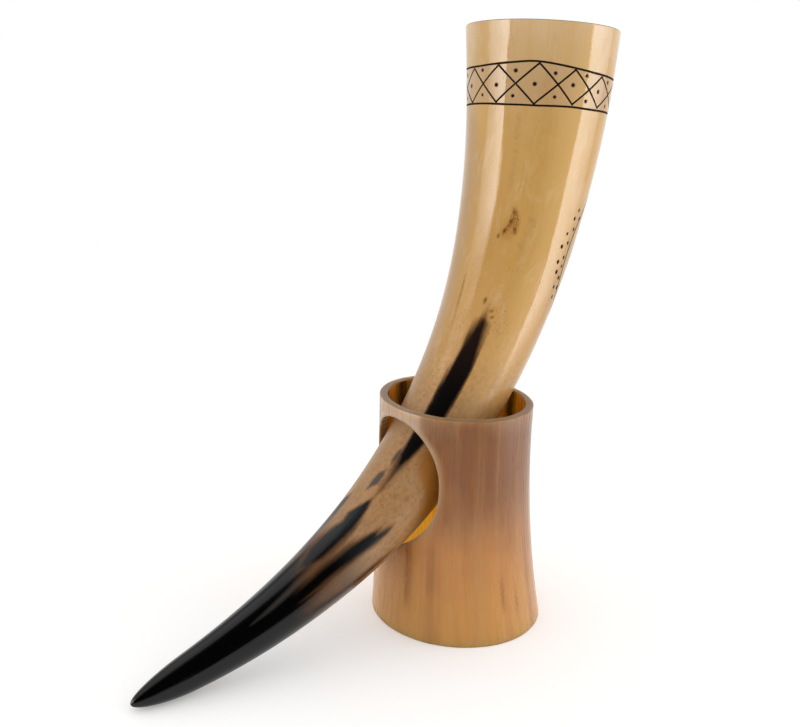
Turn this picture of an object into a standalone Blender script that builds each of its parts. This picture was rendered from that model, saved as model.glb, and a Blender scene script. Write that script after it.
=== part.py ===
"""A drinking horn standing in a stand that is cut from a second, wider horn.

The horn is a curved, tapering cup with a solid tip. The stand is a short flared tube, open at both ends,
with an oval window in its side. The horn leans on the stand's back rim, comes out through the window and
rests its tip on the table. Sizes are in metres. X points from the tip to the mouth, and Z points up.
"""

import math

import bmesh
import bpy
import numpy as np
from mathutils import Vector

# Horn: radii and leans from the vertical at the mouth, at one and two thirds of the length, and at the tip
HORN_LENGTH = 0.375
MOUTH_RADIUS = 0.0365
UPPER_RADIUS = 0.0258
LOWER_RADIUS = 0.0166
TIP_RADIUS = 0.0050
MOUTH_LEAN = math.radians(0.0)
UPPER_LEAN = math.radians(21.0)
LOWER_LEAN = math.radians(52.5)
TIP_LEAN = math.radians(79.3)
TIP_ROUNDING = 0.026
END_BLUNTNESS = 2.3

# Hollow of the horn, whose wall thickens from the mouth to the hollow's end
HOLLOW_DEPTH = 0.285
MOUTH_WALL = 0.0028
HOLLOW_END_WALL = 0.0055
HOLLOW_ROUNDING = 0.022

# Stand
STAND_HEIGHT = 0.105
STAND_TOP_RADIUS = 0.036
STAND_WAIST_RADIUS = 0.0369
STAND_WAIST_HEIGHT = 0.048
STAND_FOOT_RADIUS = 0.041
STAND_WALL = 0.0037
STAND_EDGE = 0.0011
FOOT_OFFSET = 0.006
RIM_SLOPE_ALONG = 0.018
RIM_SLOPE_ACROSS = 0.070

# Window of the stand, and how the horn passes through it
BRIDGE_HEIGHT = 0.0044
WINDOW_SIDE_PLAY = 0.0003
WINDOW_WIDEST_ANGLE = math.radians(80)
WINDOW_TURN = math.radians(-2.5)
HORN_SIDE_OFFSET = 0.0035
SEAT_GAP = 0.0003
FURTHEST_DRAW = math.radians(45)

# Finishes
HORN_COLOUR = (0.62, 0.43, 0.22)
HORN_ROUGHNESS = 0.25
STAND_COLOUR = (0.40, 0.24, 0.13)
STAND_ROUGHNESS = 0.3

# Facets
HORN_SIDES = 36
HORN_RINGS = 30
TIP_RINGS = 7
HOLLOW_RINGS = 22
STAND_SIDES = 72
STAND_RINGS = 9
WINDOW_SIDES = 48
CUT_OVERRUN = 0.004
MERGE_DISTANCE = 0.00005
SHARP_EDGE = math.radians(40)

# Fineness of the centreline and of the searches for a fit
CENTRELINE_STEPS = 240
SEARCH_STEPS = 40

THIRDS = (0.0, 1 / 3, 2 / 3, 1.0)
LEAN_LAW = np.polyfit(THIRDS, (MOUTH_LEAN, UPPER_LEAN, LOWER_LEAN, TIP_LEAN), 3)
RADIUS_LAW = np.polyfit(THIRDS, (MOUTH_RADIUS, UPPER_RADIUS, LOWER_RADIUS, TIP_RADIUS), 3)


def rounding(distance, end, length):
    """How much of its radius a tube keeps at this distance, when it rounds off over its last stretch."""
    share = np.clip((distance - (end - length)) / length, 0, 1)
    return np.sqrt(1 - share**END_BLUNTNESS)


def horn_radius(distance):
    """Outer radius at a distance from the mouth, measured along the centreline."""
    return np.polyval(RADIUS_LAW, distance / HORN_LENGTH) * rounding(distance, HORN_LENGTH, TIP_ROUNDING)


def hollow_radius(distance):
    """Inner radius at a distance from the mouth. Above the mouth the hollow runs straight on."""
    inside = np.clip(distance, 0, HOLLOW_DEPTH)
    wall = MOUTH_WALL + (HOLLOW_END_WALL - MOUTH_WALL) * inside / HOLLOW_DEPTH
    return (horn_radius(inside) - wall) * rounding(inside, HOLLOW_DEPTH, HOLLOW_ROUNDING)


def integrate_centreline():
    """Distances from the mouth and (x, z) places along the horn, from the mouth at the origin."""
    distances = np.linspace(0, HORN_LENGTH, CENTRELINE_STEPS + 1)
    middles = (distances[1:] + distances[:-1]) / 2
    leans = np.polyval(LEAN_LAW, middles / HORN_LENGTH)
    steps = -np.stack([np.sin(leans), np.cos(leans)], axis=1) * np.diff(distances)[:, None]
    return distances, np.concatenate([np.zeros((1, 2)), np.cumsum(steps, axis=0)])


DISTANCES, FROM_MOUTH = integrate_centreline()
RADII = horn_radius(DISTANCES)
LEANS = np.polyval(LEAN_LAW, DISTANCES / HORN_LENGTH)
# The tip end rests on the table, so the horn's lowest point sets the mouth's height.
MOUTH_HEIGHT = SEAT_GAP - (FROM_MOUTH[:, 1] - RADII).min()


def standing_line(mouth_x):
    """Points along the horn with its mouth at this x and its tip on the table, in the stand's frame."""
    side = np.full(len(FROM_MOUTH), HORN_SIDE_OFFSET)
    return np.stack([FROM_MOUTH[:, 0] + mouth_x, side, FROM_MOUTH[:, 1] + MOUTH_HEIGHT], axis=1)


def circle_centre(a, b, c):
    """Centre of the circle through three (x, z) points."""
    rows = 2 * np.array([b - a, c - a])
    return np.linalg.solve(rows, [b @ b - a @ a, c @ c - a @ a])


def lift_pivot(mouth_x):
    """Where the horn turns as it is drawn out: the centre of the curve from the rim to the tip."""
    line = standing_line(mouth_x)[:, [0, 2]]
    first = np.argmin(np.abs(line[:, 1] - STAND_HEIGHT))
    last = len(line) - 1
    x, z = circle_centre(line[first], line[(first + last) // 2], line[last])
    return np.array([x, HORN_SIDE_OFFSET, z])


def centreline(mouth_x, draw):
    """Points along the horn once it is drawn up, mouth first, by an angle about its lift pivot."""
    pivot = lift_pivot(mouth_x)
    x, y, z = (standing_line(mouth_x) - pivot).T
    c, s = math.cos(draw), math.sin(draw)
    return pivot + np.stack([c * x - s * z, y, s * x + c * z], axis=1)


def gap_to_horn(points, seat):
    """Least distance from the points to the horn's surface, below 0 inside it."""
    away = np.linalg.norm(np.asarray(points)[:, None] - centreline(*seat)[None], axis=2)
    return (away - RADII).min()


def stand_radius(height):
    """Outer radius of the stand before it leans: one parabola through the foot, the waist and the top."""
    heights = (0.0, STAND_WAIST_HEIGHT, STAND_HEIGHT)
    radii = (STAND_FOOT_RADIUS, STAND_WAIST_RADIUS, STAND_TOP_RADIUS)
    return np.polyval(np.polyfit(heights, radii, 2), height)


def sweep(height):
    """How far the tube's middle lies towards +X of its rim's middle."""
    return FOOT_OFFSET * (1 - height / STAND_HEIGHT) ** 2


def lean_stand(x, y, z):
    """Where a point of the turned tube goes: the foot is swept towards +X, and the rim slopes."""
    rise = RIM_SLOPE_ALONG * x + RIM_SLOPE_ACROSS * y
    return Vector((x + sweep(z), y, z + rise * z / STAND_HEIGHT))


def turn_stand(point):
    """Turns a point of the stand about its axis, so that the window faces the horn's way out."""
    c, s = math.cos(WINDOW_TURN), math.sin(WINDOW_TURN)
    return (c * point[0] - s * point[1], s * point[0] + c * point[1], point[2])


def rim_points(middle):
    """Points along half of the rim's inner edge, to both sides of an angle about the axis."""
    radius = STAND_TOP_RADIUS - STAND_WALL
    angles = middle + np.linspace(-math.pi / 2, math.pi / 2, STAND_SIDES)
    ring = [lean_stand(radius * math.cos(a), radius * math.sin(a), STAND_HEIGHT) for a in angles]
    return [turn_stand(point) for point in ring]


def window_points(half_width, top, bottom):
    """Points along the window's edge, on the wall's outer and inner faces."""
    points = []
    for wall in (0.0, STAND_WALL):
        for a in np.linspace(0, 2 * math.pi, WINDOW_SIDES * 2):
            y = half_width * math.cos(a)
            z = (top + bottom) / 2 + (top - bottom) / 2 * math.sin(a)
            radius = stand_radius(z) - wall
            points.append(turn_stand((sweep(z) - math.sqrt(radius**2 - y**2), y, z)))
    return points


def search(gap, near, far):
    """The value between near, where the gap is wide, and far, where it is closed, that leaves SEAT_GAP."""
    for _ in range(SEARCH_STEPS):
        middle = (near + far) / 2
        if gap(middle) > SEAT_GAP:
            near = middle
        else:
            far = middle
    return near


def lean_on_rim(draw):
    """The mouth's x that leans the horn on the back rim, when it is drawn up by this angle."""
    back = rim_points(0)
    at_rim = np.interp(-STAND_HEIGHT, -(FROM_MOUTH[:, 1] + MOUTH_HEIGHT), FROM_MOUTH[:, 0])
    return search(lambda x: gap_to_horn(back, (x, draw)), -at_rim, STAND_TOP_RADIUS - at_rim)


def window_heights(seat):
    """Top and bottom of the window: below the bridge, and just under the horn at the stand's waist."""
    line = centreline(*seat)
    leans = LEANS - seat[1]
    under_x = line[:, 0] + RADII * np.cos(leans)
    under_z = line[:, 2] - RADII * np.sin(leans)
    wall_x = sweep(STAND_WAIST_HEIGHT) - STAND_WAIST_RADIUS
    bottom = np.interp(-wall_x, -under_x, under_z) - 2 * SEAT_GAP
    return STAND_HEIGHT - BRIDGE_HEIGHT, bottom


def widest_window():
    """Half width of the widest window that leaves the tube its back."""
    heights = np.linspace(0, STAND_HEIGHT, STAND_RINGS)
    return (stand_radius(heights).min() - STAND_WALL) * math.sin(WINDOW_WIDEST_ANGLE)


def room_in_front(draw):
    """Least gap from the horn that leans on the back rim to the front rim and to the widest window."""
    seat = (lean_on_rim(draw), draw)
    edges = rim_points(math.pi) + window_points(widest_window(), *window_heights(seat))
    return gap_to_horn(edges, seat)


def seat_horn():
    """The mouth's x, and the angle that the horn stays drawn up where the stand is too narrow for it."""
    draw = search(room_in_front, FURTHEST_DRAW, 0)
    return lean_on_rim(draw), draw


def fit_window(seat):
    """Half width, top and bottom of the window, cut just wide and low enough for the horn to pass."""
    top, bottom = window_heights(seat)
    least = search(lambda wide: gap_to_horn(window_points(wide, top, bottom), seat), widest_window(), 0)
    return least + WINDOW_SIDE_PLAY, top, bottom


def material(name, colour, roughness):
    made = bpy.data.materials.new(name)
    made.use_nodes = True
    shader = made.node_tree.nodes["Principled BSDF"]
    shader.inputs["Base Color"].default_value = (*colour, 1.0)
    shader.inputs["Roughness"].default_value = roughness
    shader.inputs["Metallic"].default_value = 0.0
    return made


def evaluated_mesh(source, name):
    """The mesh that an object evaluates to, with its loose caps welded, in place of that object."""
    graph = bpy.context.evaluated_depsgraph_get()
    mesh = bpy.data.meshes.new_from_object(source.evaluated_get(graph))
    mesh.name = name
    bpy.data.objects.remove(source)
    body = bmesh.new()
    body.from_mesh(mesh)
    bmesh.ops.remove_doubles(body, verts=body.verts, dist=MERGE_DISTANCE)
    bmesh.ops.recalc_face_normals(body, faces=body.faces)
    body.to_mesh(mesh)
    body.free()
    return mesh


def tube_mesh(name, collection, points, radii):
    """A closed round tube of varying radius along the points."""
    curve = bpy.data.curves.new(name + "_path", "CURVE")
    curve.dimensions = "3D"
    curve.bevel_depth = 1.0
    curve.bevel_resolution = HORN_SIDES // 2 - 2
    curve.use_fill_caps = True
    spline = curve.splines.new("POLY")
    spline.points.add(len(points) - 1)
    for knot, place, radius in zip(spline.points, points, radii):
        knot.co = (*place, 1.0)
        knot.radius = radius
    path = bpy.data.objects.new(name + "_path", curve)
    collection.objects.link(path)
    return evaluated_mesh(path, name)


def turned_mesh(name, collection, profile):
    """A closed (radius, height) outline turned about Z. It runs down its outer side first."""
    mesh = bpy.data.meshes.new(name + "_profile")
    edges = [(i, (i + 1) % len(profile)) for i in range(len(profile))]
    mesh.from_pydata([(radius, 0.0, height) for radius, height in profile], edges, [])
    outline = bpy.data.objects.new(name + "_profile", mesh)
    collection.objects.link(outline)
    screw = outline.modifiers.new("turn", "SCREW")
    screw.steps = STAND_SIDES
    screw.render_steps = STAND_SIDES
    screw.use_merge_vertices = True
    screw.merge_threshold = MERGE_DISTANCE
    return evaluated_mesh(outline, name)


def add_part(name, mesh, collection, finish, parent):
    mesh.materials.append(finish)
    mesh.shade_smooth()
    mesh.set_sharp_from_angle(angle=SHARP_EDGE)
    part = bpy.data.objects.new(name, mesh)
    part.parent = parent
    collection.objects.link(part)
    return part


def cut(part, mesh, collection, parent):
    """Takes the shape of a mesh out of a part."""
    cutter = bpy.data.objects.new(mesh.name, mesh)
    cutter.parent = parent
    cutter.hide_render = True
    cutter.display_type = "WIRE"
    collection.objects.link(cutter)
    modifier = part.modifiers.new(mesh.name, "BOOLEAN")
    modifier.operation = "DIFFERENCE"
    modifier.solver = "EXACT"
    modifier.object = cutter


def place_along(seat, distances):
    """Places at distances from the mouth, from the lift pivot. Those above the mouth run straight on."""
    mouth_x, draw = seat
    line = centreline(*seat) - lift_pivot(mouth_x)
    points = np.stack([np.interp(distances, DISTANCES, line[:, i]) for i in range(3)], axis=1)
    lean = MOUTH_LEAN - draw
    return points + np.outer(np.maximum(-distances, 0), (math.sin(lean), 0, math.cos(lean)))


def make_horn(seat, pivot, parts, cutters):
    quarter_turn = np.linspace(0, math.pi / 2, TIP_RINGS + 1, endpoint=False)[1:]
    shaft = np.linspace(0, HORN_LENGTH - TIP_ROUNDING, HORN_RINGS)
    stations = np.concatenate([shaft, shaft[-1] + TIP_ROUNDING * np.sin(quarter_turn)])
    mesh = tube_mesh("drinking_horn", parts, place_along(seat, stations), horn_radius(stations))
    finish = material("polished_horn", HORN_COLOUR, HORN_ROUGHNESS)
    horn = add_part("drinking_horn", mesh, parts, finish, pivot)

    barrel = np.linspace(0, HOLLOW_DEPTH - HOLLOW_ROUNDING, HOLLOW_RINGS)
    depths = np.concatenate([[-CUT_OVERRUN], barrel, barrel[-1] + HOLLOW_ROUNDING * np.sin(quarter_turn)])
    hollow = tube_mesh("hollow", cutters, place_along(seat, depths), hollow_radius(depths))
    cut(horn, hollow, cutters, pivot)
    return horn


def stand_profile():
    """Closed outline of the stand's wall: down the outside, across the foot and up the inside."""
    heights = np.linspace(STAND_HEIGHT - STAND_EDGE, STAND_EDGE, STAND_RINGS)
    outside = [(stand_radius(z), z) for z in heights]
    inside = [(radius - STAND_WALL, z) for radius, z in reversed(outside)]
    top = stand_radius(STAND_HEIGHT)
    foot = stand_radius(0.0)
    under = [(foot - STAND_EDGE, 0.0), (foot - STAND_WALL + STAND_EDGE, 0.0)]
    over = [(top - STAND_WALL + STAND_EDGE, STAND_HEIGHT), (top - STAND_EDGE, STAND_HEIGHT)]
    return outside + under + inside + over


def window_mesh(half_width, top, bottom):
    """An oval rod through the front wall, along the stand's -X."""
    length = 2 * STAND_FOOT_RADIUS
    body = bmesh.new()
    bmesh.ops.create_cone(
        body, cap_ends=True, segments=WINDOW_SIDES, radius1=1.0, radius2=1.0, depth=length
    )
    for vertex in body.verts:
        across, up, along = vertex.co
        height = (top + bottom) / 2 + up * (top - bottom) / 2
        vertex.co = (along - length / 2, across * half_width, height)
    bmesh.ops.recalc_face_normals(body, faces=body.faces)
    mesh = bpy.data.meshes.new("window")
    body.to_mesh(mesh)
    body.free()
    return mesh


def make_stand(seat, root, parts, cutters):
    mesh = turned_mesh("horn_stand", parts, stand_profile())
    for vertex in mesh.vertices:
        vertex.co = lean_stand(*vertex.co)
    finish = material("brown_horn", STAND_COLOUR, STAND_ROUGHNESS)
    stand = add_part("horn_stand", mesh, parts, finish, root)
    stand.rotation_euler.z = WINDOW_TURN
    cut(stand, window_mesh(*fit_window(seat)), cutters, stand)
    return stand


def add_empty(name, collection, parent, place):
    empty = bpy.data.objects.new(name, None)
    empty.parent = parent
    empty.location = place
    collection.objects.link(empty)
    return empty


def box_middle(objects):
    """Middle of the box round the objects, seen from above."""
    bpy.context.view_layer.update()
    graph = bpy.context.evaluated_depsgraph_get()
    points = []
    for part in objects:
        shown = part.evaluated_get(graph)
        points += [shown.matrix_world @ vertex.co for vertex in shown.data.vertices]
    low, high = np.min(points, axis=0), np.max(points, axis=0)
    return Vector(((low[0] + high[0]) / 2, (low[1] + high[1]) / 2, 0))


def build():
    for leftover in list(bpy.data.objects):
        bpy.data.objects.remove(leftover)
    parts = bpy.data.collections.new("drinking_horn_in_stand")
    cutters = bpy.data.collections.new("cutters")
    bpy.context.scene.collection.children.link(parts)
    bpy.context.scene.collection.children.link(cutters)

    seat = seat_horn()
    root = add_empty("stand_axis", parts, None, Vector((0, 0, 0)))
    pivot = add_empty("lift_pivot", parts, root, lift_pivot(seat[0]))
    horn = make_horn(seat, pivot, parts, cutters)
    stand = make_stand(seat, root, parts, cutters)
    # The origin lies on the table, at the middle of the box round both pieces.
    root.location = -box_middle([horn, stand])


build()
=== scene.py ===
"""Looks of a polished drinking horn and of the horn stand that holds it.

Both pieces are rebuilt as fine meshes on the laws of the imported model, with the engraving cut into the
horn's surface, and they get procedural horn materials. Sizes are in metres, in the row frame: X points from
the tip to the mouth and Z points up. A place on the horn is a distance from the mouth along its curve and an
angle round it, counted from the outside of the curve.
"""

import math
from functools import partial, reduce
from types import SimpleNamespace

import bpy
import numpy as np
from mathutils import Matrix, Vector
from mathutils.geometry import delaunay_2d_cdt
from mathutils.kdtree import KDTree


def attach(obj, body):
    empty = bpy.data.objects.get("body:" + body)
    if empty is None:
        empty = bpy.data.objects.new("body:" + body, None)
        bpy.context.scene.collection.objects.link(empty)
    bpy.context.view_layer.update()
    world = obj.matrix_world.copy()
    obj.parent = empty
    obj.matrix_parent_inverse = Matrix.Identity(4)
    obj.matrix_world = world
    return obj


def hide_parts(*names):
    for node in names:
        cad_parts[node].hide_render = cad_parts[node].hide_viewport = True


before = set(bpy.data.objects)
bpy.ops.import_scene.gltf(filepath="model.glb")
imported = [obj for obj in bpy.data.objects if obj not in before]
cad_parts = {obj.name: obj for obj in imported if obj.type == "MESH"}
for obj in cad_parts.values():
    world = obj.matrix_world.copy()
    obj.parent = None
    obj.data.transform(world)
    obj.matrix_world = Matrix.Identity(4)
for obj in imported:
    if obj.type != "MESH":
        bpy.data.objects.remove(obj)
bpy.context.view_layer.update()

# Horn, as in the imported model: radii and leans at the mouth, at one and two thirds, and at the tip
HORN_LENGTH = 0.375
HORN_RADII = (0.0365, 0.0258, 0.0166, 0.0050)
HORN_LEANS = np.radians((0.0, 21.0, 52.5, 79.3))
MOUTH_RADIUS = HORN_RADII[0]
MOUTH_PLACE = np.array((0.0849885, 0.0037560, 0.2738645))
TIP_ROUNDING = 0.026
END_BLUNTNESS = 2.3
HOLLOW_DEPTH = 0.285
MOUTH_WALL = 0.0028
HOLLOW_END_WALL = 0.0055
HOLLOW_ROUNDING = 0.022
HOLLOW_END_WAY = (0.7, 0, 0.7)

# Horn: the mouth is cut a little out of square and drawn in, and the surface waves slightly. Waves
# are (share of the height, waves round the piece, radians per metre along it, shift)
MOUTH_RAISE = 0.0014
MOUTH_TILT_ALONG = 0.0040
MOUTH_TILT_ACROSS = 0.0338
MOUTH_EDGE = 0.0005
MOUTH_PULL = 0.0007
MOUTH_PULL_LENGTH = 0.055
HORN_WAVE_HEIGHT = 0.00016
HORN_WAVES = ((1.0, 2, 38, 1), (0.7, 3, -61, 0), (0.45, 5, 47, 2), (0.2, 9, -90, 0))
# Turn of the mouth's rounded edge from which it shows as sawn
SAWN_FROM = 0.3

# Stand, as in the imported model, but with a slightly higher rim and the window's cut as it is seen
STAND_AXIS = np.array((0.038444, 0.000256, 0.0))
STAND_HEIGHT = 0.1061
STAND_TOP_RADIUS = 0.036
STAND_WAIST_RADIUS = 0.0369
STAND_WAIST_HEIGHT = 0.048
STAND_FOOT_RADIUS = 0.041
STAND_WALL = 0.0037
FOOT_OFFSET = 0.006
RIM_SLOPE_ALONG = 0.018
RIM_SLOPE_ACROSS = 0.070
WINDOW_HALF_WIDTH = 0.0228
WINDOW_SHIFT = 0.0002
WINDOW_MIDDLE = 0.0714
WINDOW_HALF_HEIGHT = 0.0289
WINDOW_FULLNESS_ABOVE = 2.2
WINDOW_FULLNESS_BELOW = 2.43
WINDOW_SAG = 0.30
WINDOW_SAG_FROM = -0.0099
WINDOW_TURN = math.radians(-2.5)

# Stand: its edges are sanded round, its foot is a little oval, its rim is rubbed where the horn
# leans, and the window's edge and the bridge above it get a painted highlight
RIM_EDGE = 0.0006
RIM_WEAR = 0.0009
RIM_WEAR_ANGLE = math.radians(22)
RIM_WEAR_HEIGHT = 0.018
FOOT_BULGE = 0.0036
FOOT_BULGE_ANGLE = math.radians(-128)
FOOT_BULGE_HEIGHT = 0.060
WINDOW_EDGE = 0.0005
STAND_WAVE_HEIGHT = 0.00006
STAND_WAVES = ((1.0, 3, 20, 0), (1.0, 7, 0, 1), (0.6, 16, 0, 0))
WINDOW_HIGHLIGHT_REACH = 0.11
BRIDGE_HEIGHTS = (0.093, 0.100)
BRIDGE_TURNS = np.radians((22.5, 26.0))

# Engraved band: two rings with twelve diamonds between them. The rings' distances in mm, at angles in degrees
UPPER_RING = (
    (-212, 18.6), (-188, 19.0), (-169, 18.5), (-156, 18.0), (-146, 17.5), (-138, 17.5), (-129, 18.0),
    (-111, 19.2), (-93, 20.1), (-67, 20.3), (-20, 20.2), (30, 19.6), (90, 18.9),
)
LOWER_RING = (
    (-211, 35.9), (-162, 37.2), (-137, 37.0), (-109, 35.9), (-92, 35.7), (-61, 34.6), (0, 35.2), (90, 35.8),
)
DIAMOND_TOPS = np.radians((-196.2, -169.0, -137.7, -110.5, -83.2, -53, -23, 7, 38, 69, 100, 131))
DIAMOND_FEET = np.radians((-198.9, -170.0, -139.2, -109.1, -82.7, -52, -24, 8, 37, 70, 99, 132))
# Dots of the first five fields, as (distance in mm, angle in degrees)
CENTRE_DOTS = ((27.5, -201.9), (28.2, -170.7), (27.5, -140.2), (26.5, -110.6), (27.5, -84.8))
UPPER_DOTS = ((21.0, -185.4), (21.8, -155.1), (22.2, -125.5), (21.8, -99.8), (22.5, -72.1))
LOWER_DOTS = ((32.5, -185.0), (33.2, -156.2), (32.5, -124.1), (32.5, -97.0), (32.5, -69.3))
DIAMOND_GAP = 0.0008
CORNER_DOT_DROP = 0.0032
RING_HALF_WIDTH = 0.00054
LINE_HALF_WIDTH = 0.00050
LINE_DEPTH = 0.00020
CENTRE_DOT_RADIUS = 0.00128
UPPER_DOT_RADIUS = 0.00125
LOWER_DOT_RADIUS = 0.00108
DOT_DEPTH = 0.00030
CUT_FLOOR = 0.5
RING_PIECES = 72

# Engraved lozenge on the outside of the curve: half widths as angles and half heights of its outlines. Two of
# them are rows of dots, at these distances in mm
LOZENGE_DISTANCE = 0.0978
LOZENGE_ANGLE = math.radians(-47)
LOZENGE_DOT_ROWS = (
    (math.radians(36.0), 0.0342, (78.8, 83.0, 90.5, 96.8, 103.8, 108.2, 114.8, 119.0)),
    (math.radians(28.8), 0.0272, (82.2, 87.5, 94.2, 100.8, 104.8, 110.0, 114.2)),
)
LOZENGE_LINE = (math.radians(23.6), 0.0310)
LOZENGE_HEART = (math.radians(9), 0.0110)
LOZENGE_DOT_RADIUS = 0.00125
LOZENGE_LINE_PIECES = 14

# Slips of the engraver's hand, in metres, as angles and as shares of a dot's size
LINE_SLIP = 0.0002
DOT_SLIP = 0.0004
DOT_TURN_SLIP = 0.015
DOT_SIZE_SLIP = 0.08
LOZENGE_TURN_SLIP = 0.008
LOZENGE_SIZE_SLIP = 0.10

# Fineness of the meshes. Offsets and rings of cut points are shares of the cut's half width
HORN_COLUMNS = 144
PATCH_TOP = 0.0105
PATCH_BOTTOM = 0.1335
PATCH_STEP = 0.0016
SEAM_ANGLE = math.radians(46 - 360)
SEAM_STEP = 0.0003
SEAM_MARGIN = 0.002
CUT_STEP = 0.00045
CUT_OFFSETS = (0.0, -0.45, 0.45, -0.75, 0.75, -1.0, 1.0, -1.3, 1.3)
DOT_POINT_RINGS = ((0.55, 8), (1.0, 12), (1.4, 12))
LEAST_SPACING = 0.0001
CLEAR_OF_CUTS = 0.0006
SHAFT_STEP = 0.0014
TIP_RINGS = 26
COLLAR_RINGS = 8
HOLLOW_RINGS = 56
STAND_COLUMNS = 150
STAND_STEP = 0.0015
CLEAR_OF_WINDOW = 0.0009
WINDOW_COLUMNS = 220
OUTLINE_ROUNDS = 6
EDGE_STEPS = 6
NORMAL_STEP = 0.00006
NORMAL_TURN = 0.002

TURN = 2 * math.pi
rng = np.random.default_rng(7)


def smooth(value, low, high):
    """Rises smoothly from 0 at low to 1 at high."""
    share = np.clip((value - low) / (high - low), 0, 1)
    return share * share * (3 - 2 * share)


def wrap(angle):
    """The same angle between half a turn back and half a turn on."""
    return (angle + math.pi) % TURN - math.pi


def full_turn(count, first=0.0):
    """Angles at equal steps round a full turn."""
    return first + np.arange(count) * TURN / count


def waviness(waves, along, angle):
    return sum(share * np.sin(around * angle + rate * along + shift) for share, around, rate, shift in waves)


# Shape of the horn

THIRDS = np.arange(4) / 3
LEAN_LAW = np.polyfit(THIRDS, HORN_LEANS, 3)
RADIUS_LAW = np.polyfit(THIRDS, HORN_RADII, 3)
PATH_STEPS = 1500
PATH_DISTANCES = np.linspace(0, HORN_LENGTH, PATH_STEPS + 1)


def trace_path():
    """Places along the horn's centreline, from the mouth to the tip."""
    leans = np.polyval(LEAN_LAW, (PATH_DISTANCES[1:] + PATH_DISTANCES[:-1]) / 2 / HORN_LENGTH)
    steps = np.stack([-np.sin(leans), np.zeros(PATH_STEPS), -np.cos(leans)], axis=1)
    steps *= np.diff(PATH_DISTANCES)[:, None]
    return MOUTH_PLACE + np.concatenate([np.zeros((1, 3)), np.cumsum(steps, axis=0)])


PATH = trace_path()


def rounding(distance, end, length):
    """How much of its radius a tube keeps at this distance, when it rounds off over its last stretch."""
    share = np.clip((distance - (end - length)) / length, 0, 1)
    return np.sqrt(1 - share**END_BLUNTNESS)


def horn_radius(distance):
    """Outer radius before waves and cuts."""
    pull = MOUTH_PULL * np.clip(1 - distance / MOUTH_PULL_LENGTH, 0, 2) ** 2
    radius = np.polyval(RADIUS_LAW, distance / HORN_LENGTH)
    return radius * rounding(distance, HORN_LENGTH, TIP_ROUNDING) - pull


def hollow_radius(distance):
    wall = MOUTH_WALL + (HOLLOW_END_WALL - MOUTH_WALL) * np.maximum(distance, 0) / HOLLOW_DEPTH
    return (horn_radius(distance) - wall) * rounding(distance, HOLLOW_DEPTH, HOLLOW_ROUNDING)


def horn_point(distance, angle, reach):
    """A place at a reach from the centreline. Above the mouth the centreline runs straight up."""
    centre = np.stack([np.interp(distance, PATH_DISTANCES, PATH[:, i]) for i in range(3)], axis=-1)
    centre[..., 2] -= np.minimum(distance, 0)
    lean = np.polyval(LEAN_LAW, np.clip(distance / HORN_LENGTH, 0, 1))
    aside = np.cos(angle) * reach
    return centre + np.stack([aside * np.cos(lean), np.sin(angle) * reach, -aside * np.sin(lean)], axis=-1)


def horn_wave(distance, angle):
    """Slight waves that scraping and polishing leave along a natural horn."""
    height = HORN_WAVE_HEIGHT * horn_radius(distance) / MOUTH_RADIUS
    return height * waviness(HORN_WAVES, distance, angle)


def mouth_distance(angle):
    """Distance of the sawn mouth's edge, below 0 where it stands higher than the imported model's."""
    tilt = MOUTH_TILT_ACROSS * np.sin(angle) + MOUTH_TILT_ALONG * np.cos(angle)
    return -MOUTH_RAISE - MOUTH_RADIUS * tilt


def span(line):
    """The radius at a (distance, angle, distance, angle) line on the horn, and how far it runs and rises."""
    first, start, last, end = line
    radius = horn_radius((first + last) / 2)
    return radius, wrap(end - start) * radius, last - first


def off_line(line, distance, angle):
    """How far places lie from a line on the horn."""
    radius, run, rise = span(line)
    x, y = wrap(angle - line[1]) * radius, distance - line[0]
    along = np.clip((x * run + y * rise) / (run**2 + rise**2), 0, 1)
    return np.hypot(x - along * run, y - along * rise)


# Engraving: strokes are (distance, angle, distance, angle, half width, depth), and dots are (distance, angle,
# radius, depth)


def ring_distance(ring, angle):
    """Distance of one of the band's rings from the mouth."""
    turns, distances = np.array(ring).T
    return np.interp(np.degrees(angle), turns, distances, period=360) / 1000


def ring_strokes(ring):
    angles = np.linspace(0, TURN, RING_PIECES + 1)
    places = list(zip(ring_distance(ring, angles), angles))
    return [(*here, *there, RING_HALF_WIDTH, LINE_DEPTH) for here, there in zip(places, places[1:])]


def hand(size):
    """A small slip of the hand."""
    return rng.normal() * size


def field_dot(measured, number, distance, angle):
    """The measured place of a field's dot, or else the given place with a slip of the hand."""
    if number < len(measured):
        return measured[number][0] / 1000, math.radians(measured[number][1])
    return distance + hand(DOT_SLIP), angle + hand(DOT_TURN_SLIP)


def diamond_corners(ring, angles, gap):
    """Corners beside a ring, as (distance, angle), with the first one again at the end."""
    return [(ring_distance(ring, angle) + gap, angle) for angle in (*angles, angles[0] + TURN)]


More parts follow.
